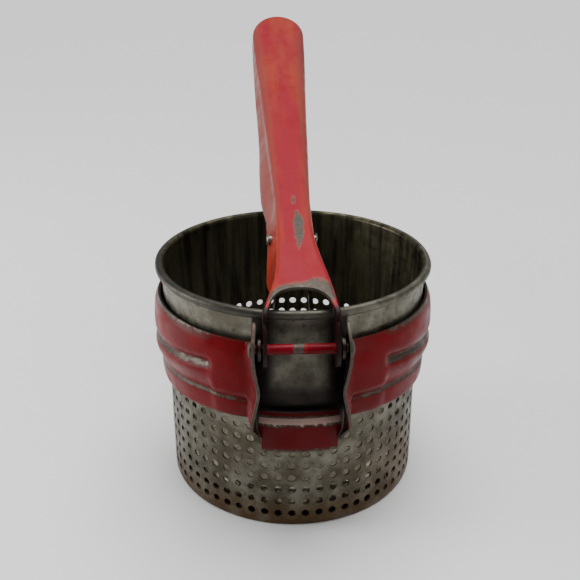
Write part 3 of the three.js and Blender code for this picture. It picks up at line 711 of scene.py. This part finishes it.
# ---- channel pressings ------------------------------------------------------
def channel(name, stations, half_of, tip_centre, top_of, low_of, shoulder_of, flare_of, hole_of,
            wear_and_shade_of, tip_reach=None):
    """A U-shaped pressing: a web, a rounded shoulder and a skirt, with one round end.

    stations are places along it, from the open end to tip_centre, where the round end of length
    tip_reach begins. At a place, half_of gives a side's half width, top_of and low_of the heights
    of the web and the skirt's edge, shoulder_of the shoulder's radius, flare_of a skirt's lean
    and hole_of the half width of a hole in the web. wear_and_shade_of takes the place, the distance from
    the middle, the height, and the way across from the middle (0) to the edge (1).
    """
    tip_steps, web_steps, turn_steps, skirt_steps = 20, 6, 12, 6
    plans = {side: [(Vector((t, 0)), Vector((t, half_of(t, side))), Vector((0, 1)), hole_of(t))
                    for t in stations] for side in (-1, 1)}
    tip_half = half_of(tip_centre, 1)
    reach_t = tip_reach or tip_half
    for i in range(1, tip_steps + 1):
        a = math.pi / 2 * i / tip_steps
        edge = Vector((tip_centre + reach_t * math.sin(a), tip_half * math.cos(a)))
        normal = Vector((math.sin(a) / reach_t, math.cos(a) / tip_half)).normalized()
        inward = edge[1] / normal[1] if normal[1] > 1e-4 else tip_half**2 / reach_t
        for plan in plans.values():
            plan.append((edge - inward * normal, edge, normal, 0.0))
    points, wear_light_and_shade = [], []
    columns = web_steps + turn_steps + skirt_steps + 1
    outline = [(place, -1) for place in plans[-1]] + [(place, 1) for place in reversed(plans[1][:-1])]
    for (centre, edge, normal, hole), side in outline:
        t = centre[0]
        top, low = top_of(t), low_of(t)
        shoulder = min(shoulder_of(t), max(0.15, top - low - 0.4))
        flare = flare_of(t, side)
        bend = (edge - centre).length - shoulder
        cut = min(1.0, max(0.0, (hole - bend) / shoulder))
        first_turn = math.asin(cut)
        web_end = centre + bend * normal
        web_start = centre + min(hole, bend) * normal
        for c in range(columns):
            if c < web_steps:
                flat = web_start.lerp(web_end, c / web_steps)
                n = top
                if cut:
                    flat = web_end + shoulder * cut * normal
                    n = top - shoulder * (1 - math.cos(first_turn))
            elif c <= web_steps + turn_steps:
                a = first_turn + (math.pi / 2 - first_turn) * (c - web_steps) / turn_steps
                flat = web_end + shoulder * math.sin(a) * normal
                n = top - shoulder * (1 - math.cos(a))
            else:
                f = (c - web_steps - turn_steps) / skirt_steps
                n = top - shoulder + (low - top + shoulder) * f
                flat = web_end + (shoulder + flare * (top - shoulder - n)) * normal
            points.append((side * flat[1], flat[0], n))
            wear_light_and_shade.append(wear_and_shade_of(flat[0], side * flat[1], n, c / (columns - 1)))
    faces = sheet_faces(len(outline), columns, flip=True)
    piece = mesh_object(name, points, faces, wear_light_and_shade)
    return thicken(piece, SHEET, bevel=0.2)


# ---- lever ------------------------------------------------------------------
# t is the place along the lever from the pin, and n the height above the pin
LEVER_ANGLE = 15.2  # degrees above level
LEVER_LENGTH = 223
GRIP_HALF = 12.0
GRIP_END = 18.0  # length of the rounded end
WEB = 13.0  # height of the web's top
EAR_END = (4.2, 5.5)  # the flange's round end: up to which t, and its radius
# place along the lever, half width left and right, lean of the left and right flange
LEVER_SECTIONS = [
    (-8, 11.4, 11.4, 0, 0), (3, 11.4, 11.4, 0, 0), (13, 9.0, 10.3, 0.1, 0),
    (20, 7.5, 9.3, 0.26, 0.05), (30, 6.7, 7.6, 0.27, 0.1), (40, 6.1, 6.3, 0.27, 0.1),
    (52, 6.1, 6.1, 0.24, 0.1), (60, 6.1, 6.1, 0.36, 0.08), (72, 6.5, 6.5, 0.6, 0.06),
    (90, 7.3, 7.3, 0.58, 0.05), (110, 8.1, 8.1, 0.46, 0.05), (130, 8.9, 8.9, 0.42, 0.05),
    (150, 9.8, 9.8, 0.38, 0.05), (170, 10.8, 10.8, 0.26, 0.05), (190, 11.6, 11.6, 0.12, 0.05),
    (206, GRIP_HALF, GRIP_HALF, 0.05, 0.05),
]
# heights along it: the web's top, the flanges' lower edge, and the shoulder's radius
LEVER_TOP = [(-5.5, 1.2), (-4.76, 2.75), (-2, 8.0), (1.5, 11.6), (5, 12.8), (8, WEB),
             (LEVER_LENGTH, WEB)]
LEVER_LOW = [(EAR_END[0], -3.4), (5.0, 0.5), (5.3, 5.5), (6.2, 8.0), (8.4, 9.4), (13.5, 9.2),
             (18, 6.6), (24, 3.2), (30, 0.6), (36, -0.5), (50, -0.8), (56, 1.0), (62, 3.0),
             (80, 3.6), (LEVER_LENGTH, 3.6)]
LEVER_SHOULDER = [(-6, 0.15), (2, 0.2), (7, 1.4), (14, 1.8), (44, 2.0), (70, 2.6), (100, 3.6),
                  (140, 4.6), (180, 5.2), (205, 3.8), (LEVER_LENGTH, 2.8)]
ARCH = (-2.5, 15.5, 10.2)  # centre, reach along the lever, half width
ARCH_POWER = 2.6  # 2 is an ellipse, higher has a flatter top


def lever_low(t):
    """Height of the flanges' lower edge: round about the pin, then as LEVER_LOW says."""
    end, radius = EAR_END
    if t < end:
        return max(-math.sqrt(max(0.01, radius**2 - t * t)), -radius)
    return along(LEVER_LOW, t)


def lever_arch(t):
    """Half width of the arch cut out of the web over the hinge."""
    centre, reach, half = ARCH
    f = max(0.0, (t - centre) / reach)
    if f < 0.2:
        return half + 5
    return half * max(0.0, 1 - f**ARCH_POWER) ** (1 / ARCH_POWER)


def lever_wear_and_shade(t, x, n, across):
    """Wear and painted shade of the lever: bare steel round the arch and on the neck, faded flanges,
    painted shadow and grime low on them.
    """
    centre, reach, half = ARCH
    powers = (max(0, t - centre) / reach) ** ARCH_POWER + (abs(x) / half) ** ARCH_POWER
    from_arch = powers ** (1 / ARCH_POWER)
    width = 1.12 + 0.2 * smoothstep(0, 6, x)
    wear_light_and_shade = 0.95 * (1 - smoothstep(width - 0.06, width + 0.06, from_arch)) if n > 10.5 else 0.0

    # a long rubbed patch on the neck, and a small spot past it
    ragged = 0.5 * noise.noise(Vector((x / 1.6, t / 2.4, 7)))
    patch = math.hypot((t - 44) / 10, (x - 1.2) / 1.5) + ragged
    spot = math.hypot((t - 60) / 2.0, (x - 0.2) / 0.9)
    wear_light_and_shade = max(wear_light_and_shade, 0.95 * (1 - smoothstep(0.75, 1.2, patch)))
    wear_light_and_shade = max(wear_light_and_shade, 0.85 * (1 - smoothstep(0.6, 1.2, spot)))

    # chalky flanges with a bare lower edge
    fade = 0.25 * smoothstep(0.14, 0.42, across) + 0.05 * smoothstep(0.6, 0.85, across)
    wear_light_and_shade = max(wear_light_and_shade, fade, 0.62 * smoothstep(0.965, 1.0, across))

    # painted shadow of the basket's wall, with some grime, low on the neck's flanges, and painted shade
    # with grime on the legs beside the hinge
    flange = smoothstep(0.3, 0.6, across)
    wear_light_and_shade -= 0.62 * flange * (1 - smoothstep(26, 56, t))
    leg = 1 - smoothstep(2 + 4 * flange, 9 + 6 * flange, t)
    return wear_light_and_shade * (1 - leg) - 0.9 * leg


def lever_stations():
    """Places along the lever, close together where it is round."""
    centre, reach, _ = ARCH
    places = [-5.4, -5.0, -4.4, -3.6, -2.6, -1.4, 0, 1.2, 2.4, 3.4, 4.2, 4.6, 5.0, 5.3, 5.7, 6.2]
    places += [centre + reach * math.cos(math.radians(a)) for a in range(50, -1, -5)]
    places += [14, 15, 16.5, 18, 20, 22, 24, 26]
    places += [28 + i * 2.2 for i in range(82)]
    tip_centre = LEVER_LENGTH - GRIP_END
    return sorted(t for t in places if t < tip_centre) + [tip_centre]


def upper_lever():
    """The lever, built along Y and then tilted up about the pin."""
    half_left, half_right, lean_left, lean_right = (
        [(row[0], row[i]) for row in LEVER_SECTIONS] for i in range(1, 5))
    lever = channel("lever", lever_stations(),
                    half_of=lambda t, side: along(half_left if side < 0 else half_right, t),
                    tip_centre=LEVER_LENGTH - GRIP_END, tip_reach=GRIP_END,
                    top_of=lambda t: along(LEVER_TOP, t), low_of=lever_low,
                    shoulder_of=lambda t: along(LEVER_SHOULDER, t),
                    flare_of=lambda t, side: along(lean_left if side < 0 else lean_right, t),
                    hole_of=lever_arch, wear_and_shade_of=lever_wear_and_shade)
    turn = Matrix.Rotation(math.radians(LEVER_ANGLE), 4, "X")
    lever.data.transform(Matrix.Translation((0, PIN_Y * MM, PIN_Z * MM)) @ turn)
    return lever


# ---- lower handle -----------------------------------------------------------
HANDLE_HALF = 9.0
HANDLE_WAIST = 8.2  # half width near the ring
HANDLE_ROOT = 49.6
HANDLE_WEB_Z = 52.7  # the web is underneath and the flanges stand up
HANDLE_DEPTH = 10
SADDLE_ANGLE = 24  # half of what the saddle covers, in degrees
SADDLE_TOP = 66.0
SADDLE_LOW = 51.3
SADDLE_CORNER = 1.2  # how far its corners are drawn in
SADDLE_GAP = 0.4


def saddle_plate():
    """The curved plate that holds the handle on the ring."""
    points, wear_light_and_shade = [], []
    rows, columns = 20, 40
    for r in range(rows + 1):
        for c in range(columns + 1):
            u = 2 * c / columns - 1
            angle = math.pi + math.radians(SADDLE_ANGLE) * u
            top = SADDLE_TOP - SADDLE_CORNER * u**4
            low = SADDLE_LOW + SADDLE_CORNER * u**4
            z = low + (top - low) * r / rows
            points.append(polar(band_surface(angle, z) + SADDLE_GAP + SHEET, angle, z))
            rim = min(r, rows - r, c / 2, (columns - c) / 2)
            wear_light_and_shade.append(0.55 * math.exp(-rim / 0.7))
    saddle = mesh_object("saddle", points, sheet_faces(rows + 1, columns + 1), wear_light_and_shade)
    return thicken(saddle, SHEET, bevel=0.25, weld=False)


def lower_handle():
    """A plain channel with its web underneath, on its saddle."""
    tip_centre = HANDLE_HIGH[1] - HANDLE_HALF
    widths = [(49, HANDLE_WAIST), (90, HANDLE_WAIST), (150, HANDLE_HALF), (175, HANDLE_HALF)]
    stations = [HANDLE_ROOT + (tip_centre - HANDLE_ROOT) * i / 60 for i in range(60)] + [tip_centre]
    handle = channel("handle_channel", stations, half_of=lambda t, side: along(widths, t),
                     tip_centre=tip_centre, top_of=lambda t: 0.0, low_of=lambda t: -HANDLE_DEPTH,
                     shoulder_of=lambda t: 2.6, flare_of=lambda t, side: 0.0, hole_of=lambda t: 0.0,
                     wear_and_shade_of=lambda t, x, n, across: 0.5 * smoothstep(0.95, 1.0, across))
    upside_down = Matrix.Scale(-1, 4, (0, 0, 1))
    handle.data.transform(Matrix.Translation((0, 0, HANDLE_WEB_Z * MM)) @ upside_down)
    handle.data.flip_normals()
    return join("handle", [handle, saddle_plate()])


# ---- pins, rivets and washers -----------------------------------------------
PIN_HALF = 15.0  # half of the length between the pin's heads
PIN_R = 1.6
PIN_HEAD_R = 2.4
WASHER_R = 3.6
WASHER_HOLE_R = 1.75
RIVET_STEM_R = 1.4
SADDLE_RIVET_R = 46.0  # where the saddle rivets begin inside the ring
SADDLE_RIVET_OUT = 51.0  # and where their heads begin outside


def turned(name, profile, place, direction):
    """A small turned piece at `place`, its axis along `direction`."""
    obj = settle(lathe(name, profile, segments=40, jitter=0.012), sharp=40)
    turn = Vector((0, 0, 1)).rotation_difference(Vector(direction)).to_matrix().to_4x4()
    obj.data.transform(Matrix.Translation([c * MM for c in place]) @ turn)
    return obj


def dome(radius, height, base, steps=6):
    """Profile of a hammered head: a low dome from its rim to the axis."""
    turns = [math.pi / 2 * i / steps for i in range(steps)]
    return [(radius * math.cos(a), base + height * math.sin(a)) for a in turns] + [(0, base + height)]


def hinge_pin():
    """The painted pin, rubbed bare near its middle and at its heads."""
    half = PIN_HALF
    shank = [(PIN_R, -half + 0.1), (PIN_R, -half / 2)] + [(PIN_R, -4 + i) for i in range(9)]
    shank += [(PIN_R, half / 2), (PIN_R, half - 0.1)]
    head = dome(PIN_HEAD_R, 0.7, half + 0.25)
    foot = [(r, -z) for r, z in reversed(head)]
    profile = foot + [(PIN_HEAD_R, -half)] + shank + [(PIN_HEAD_R, half)] + head
    pin = turned("pin", profile, (0, PIN_Y, PIN_Z), (1, 0, 0))
    layer = pin.data.attributes["wear_light_and_shade"]
    for vertex in pin.data.vertices:
        x = vertex.co.x / MM
        rubbed = 0.85 * (1 - smoothstep(1.3, 2.6, abs(x + 0.6)))
        layer.data[vertex.index].value = max(rubbed, 0.9 if abs(x) > half - 0.2 else 0.0)
    return pin


def washer(name, node, side):
    """A washer between an ear and the lever's flange."""
    low, high = box_mm(node)
    x = low[0] if side > 0 else high[0]
    width = high[0] - low[0]
    flat_r = WASHER_R - 0.3
    profile = [(WASHER_HOLE_R, 0.0), (flat_r, 0.0), (WASHER_R, 0.3), (WASHER_R, width - 0.3),
               (flat_r, width), (WASHER_HOLE_R, width), (WASHER_HOLE_R, 0.0)]
    return turned(name, profile, (x, PIN_Y, PIN_Z), (side, 0, 0))


def through_rivet(name, node, side):
    """A pivot rivet through the yoke and the lever's flange."""
    low, high = box_mm(node)
    inner, outer = (low[0], high[0]) if side > 0 else (-high[0], -low[0])
    profile = ([(0, inner), (2.0, inner + 0.1), (2.5, inner + 0.6), (2.5, inner + 1.0),
                (1.5, inner + 1.0), (1.5, outer - 0.7)] + dome(2.2, 0.7, outer - 0.7))
    return turned(name, profile, (0, PIVOT_Y, PIVOT_Z), (side, 0, 0))


def saddle_rivet(name, node):
    """A rivet through the ring and the saddle."""
    low, high = box_mm(node)
    middle = [(a + b) / 2 for a, b in zip(low, high)]
    direction = Vector((middle[0], middle[1], 0)).normalized()
    foot, out = SADDLE_RIVET_R, SADDLE_RIVET_OUT
    profile = [(0, foot), (2.0, foot + 0.05), (2.4, foot + 0.5), (2.4, foot + 0.9),
               (RIVET_STEM_R, foot + 0.9), (RIVET_STEM_R, out)]
    return turned(name, profile + dome(2.8, 1.4, out), (0, 0, middle[2]), direction)


# ---- plunger ----------------------------------------------------------------
DISC_CENTRE = (0, (DISC_LOW[1] + DISC_HIGH[1]) / 2)
DISC_SHEET = 1.1
YOKE_SHEET = 1.4
YOKE_TOP_X = 4.8  # half of the gap between its legs at the pivot
YOKE_BEND = 1.7  # height of the bend at a leg's foot


def plunger_disc():
    """The presser plate: a dished disc with a pressed ring and a turned-up rim."""
    radius = (DISC_HIGH[0] - DISC_LOW[0]) / 2
    low, high = DISC_LOW[2], DISC_HIGH[2]
    sheet = DISC_SHEET
    under = [(0, low), (radius - 9, low), (radius - 8, low + 0.5), (radius - 6, low + 0.5),
             (radius - 5, low), (radius - 1.6, low), (radius - 0.5, low + 0.5), (radius, low + 1.6)]
    rim = [(radius, high - 0.5), (radius - 0.3, high), (radius - sheet + 0.3, high),
           (radius - sheet, high - 0.5), (radius - sheet, low + 2.4)]
    over = [(radius - sheet - 0.8, low + sheet), (radius - 5, low + sheet),
            (radius - 6, low + sheet + 0.5), (radius - 8, low + sheet + 0.5), (radius - 9, low + sheet),
            (0, low + sheet)]
    disc = lathe("plunger_plate", under + rim + over, 120, DISC_CENTRE)
    return settle(disc, 40)


def plunger_yoke():
    """A strap bent into a U, its legs splaying down from the pivot to the disc."""
    base = YOKE_LOW[2]
    foot = YOKE_HIGH[0]
    eye = (YOKE_HIGH[1] - YOKE_LOW[1]) / 2
    rise = PIVOT_Z - base
    half = [((foot - 2.6) * i / 6, 0.0) for i in range(6)]
    half += [(foot - 2.6, 0.0), (foot - 1.5, 0.15), (foot - 0.6, 0.7), (foot - 0.15, YOKE_BEND)]
    for i in range(1, 25):
        z = YOKE_BEND + (rise + eye - YOKE_BEND) * i / 24
        splay = (z - YOKE_BEND) / (rise - YOKE_BEND)
        half.append((foot - 0.15 + (YOKE_TOP_X - foot + 0.15) * splay, z))
    path = [(-x, z) for x, z in reversed(half[1:])] + half
    columns = 9
    points = []
    for x, z in path:
        over = z - rise
        reach = eye if over < 0 else math.sqrt(max(0.0025, eye * eye - over * over))
        for c in range(columns):
            points.append((x, PIVOT_Y + reach * (2 * c / (columns - 1) - 1), base + z))
    strap = mesh_object("yoke", points, sheet_faces(len(path), columns))
    return thicken(strap, YOKE_SHEET, bevel=0.2, weld=False)


def yoke_rivet(name, node):
    """An upright rivet that holds the yoke on the disc."""
    low, high = box_mm(node)
    x = (low[0] + high[0]) / 2
    profile = ([(0, low[2]), (2.0, low[2] + 0.2), (2.6, low[2] + 1.0),
                (RIVET_STEM_R, low[2] + 1.0), (RIVET_STEM_R, high[2] - 1.3)]
               + dome(2.8, 1.3, high[2] - 1.3))
    return turned(name, profile, (x, PIVOT_Y, 0), (0, 0, 1))


# ---- build ------------------------------------------------------------------
finish_piece(basket_shell(), TIN_PLATE, "frame", "tin_plate", "basket_wall", "rim_wire")
finish_piece(basket_floor(), TIN_PLATE, "frame", "tin_plate", "basket_bottom")
ring = join("ring", [ring_sheet(), cross_plate()])
finish_piece(ring, BAND_RED, "frame", "red_enamel", "frame_band")
finish_piece(lower_handle(), BAND_RED, "frame", "red_enamel", "lower_handle")
finish_piece(hinge_pin(), PIN_RED, "frame", "red_enamel", "hinge_pin")
for side, word in ((-1, "left"), (1, "right")):
    node = f"hinge_washer_{word}"
    finish_piece(washer(f"washer_{word}", node, side), DARK_STEEL, "frame", "rivet_steel", node)
    node = f"pivot_rivet_{word}"
    head = through_rivet(f"pivot_head_{word}", node, side)
    finish_piece(head, RIVET_STEEL, "lever", "rivet_steel", node)
    node = f"yoke_rivet_{word}"
    head = yoke_rivet(f"yoke_head_{word}", node)
    finish_piece(head, RIVET_STEEL, "plunger", "rivet_steel", node)
    for level in ("upper", "lower"):
        node = f"handle_rivet_{level}_{word}"
        head = saddle_rivet(f"handle_head_{level}_{word}", node)
        finish_piece(head, RIVET_STEEL, "frame", "rivet_steel", node)
finish_piece(upper_lever(), LEVER_RED, "lever", "lever_enamel", "upper_lever")
finish_piece(plunger_disc(), LIT_PLUNGER_TIN, "plunger", "tin_plate", "plunger_disc")
finish_piece(plunger_yoke(), SHADED_YOKE_TIN, "plunger", "tin_plate", "plunger_yoke")


# ---- floor, light and camera ------------------------------------------------
FLOOR_HALF = 3.0  # metres
FLOOR_GAP = 0.2  # the floor is this far under the basket
WORLD_LIGHT = 0.22
LENS = 52.76  # for a sensor 36 mm wide
CAMERA_PLACE = (-13.84, -273.15, RIM_Z + 111)
CAMERA_DOWN = 24.3  # degrees below level
CAMERA_TURN = -2.53  # degrees about Z
CAMERA_SHIFT = 0.0041


def floor():
    """A plain pale floor, which doesn't light the object's low parts."""
    corners = [(x * FLOOR_HALF, y * FLOOR_HALF, 0) for x, y in ((-1, -1), (1, -1), (1, 1), (-1, 1))]
    mesh = bpy.data.meshes.new("floor")
    mesh.from_pydata(corners, [], [(0, 1, 2, 3)])
    obj = new_object("floor", mesh)
    shader = Shader("pale_floor")
    mesh.materials.append(shader.set(base_color=(0.9, 0.9, 0.9), roughness=0.7))
    obj.location.z = cad_box[0][2] - FLOOR_GAP * MM
    obj.visible_diffuse = False


def area_light(name, place, target, size, power):
    """A rectangular soft box, with its place, target and size in metres."""
    light = bpy.data.lights.new(name, "AREA")
    light.shape = "RECTANGLE"
    light.size, light.size_y = size
    light.energy = power
    obj = new_object(name, light)
    obj.location = place
    obj.rotation_euler = (Vector(target) - Vector(place)).to_track_quat("-Z", "Y").to_euler()


def sun_light(name, place, power, softness):
    """A light from the direction of place, softness degrees wide."""
    light = bpy.data.lights.new(name, "SUN")
    light.energy = power
    light.angle = math.radians(softness)
    obj = new_object(name, light)
    obj.rotation_euler = Vector(place).to_track_quat("Z", "Y").to_euler()


def camera():
    """A viewpoint 273 mm from the basket's axis and 111 mm above its rim."""
    lens = bpy.data.cameras.new("camera")
    lens.lens = LENS
    lens.sensor_width = 36
    lens.shift_x = CAMERA_SHIFT
    lens.clip_start = 0.01
    obj = new_object("camera", lens)
    obj.location = [c * MM for c in CAMERA_PLACE]
    obj.rotation_euler = Euler((math.radians(90 - CAMERA_DOWN), 0, math.radians(CAMERA_TURN)))
    bpy.context.scene.camera = obj


floor()
sun_light("overhead", (0.05, 0.15, 0.80), power=3.4, softness=50)
area_light("left", (-0.62, 0.02, 0.22), target=(0, 0, 0.09), size=(0.25, 0.25), power=2.6)
area_light("right", (0.50, -0.45, 0.30), target=(0, 0, 0.06), size=(0.35, 0.5), power=1.0)
camera()
world = bpy.context.scene.world or bpy.data.worlds.new("world")
bpy.context.scene.world = world
world.use_nodes = True
background = world.node_tree.nodes["Background"]
background.inputs["Color"].default_value = (1, 1, 1, 1)
background.inputs["Strength"].default_value = WORLD_LIGHT
